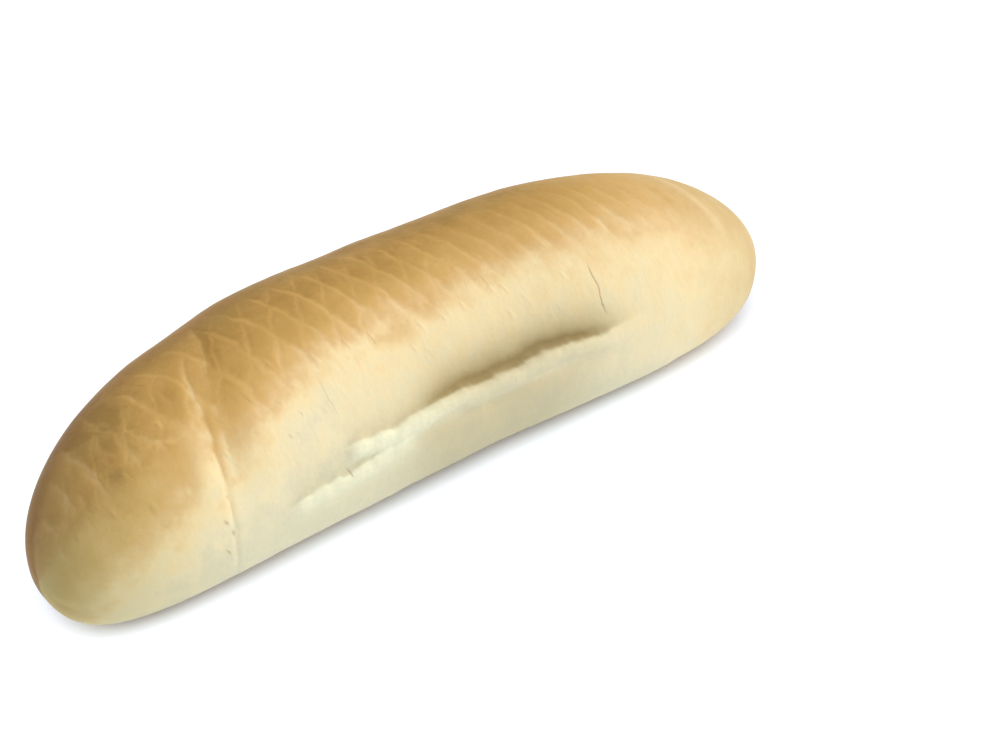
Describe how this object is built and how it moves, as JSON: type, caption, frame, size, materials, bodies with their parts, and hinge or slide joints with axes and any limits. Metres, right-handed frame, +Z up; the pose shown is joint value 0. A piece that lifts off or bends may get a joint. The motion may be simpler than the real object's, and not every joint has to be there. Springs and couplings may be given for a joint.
{
  "type": "finger roll",
  "caption": "Long soft white bread roll with rounded ends, a golden crown, pale torn flanks, a pinched crease near one end and a flat tray-baked foot.",
  "frame": {"origin": "centre of the bounding box in X and Y, on the flat underside that stands on the tray", "axes": "+X along the roll towards the end without the crease, +Y to the back, -Y to the flank with the longer tears, +Z up through the crown"},
  "size_m": [0.16, 0.0496, 0.0371],
  "materials": {
    "crust": "satin baked crust, golden brown on the crown, cream on the flanks and toasted underneath"
  },
  "bodies": {
    "root": {"finger_roll": "crust"}
  },
  "joints": []
}
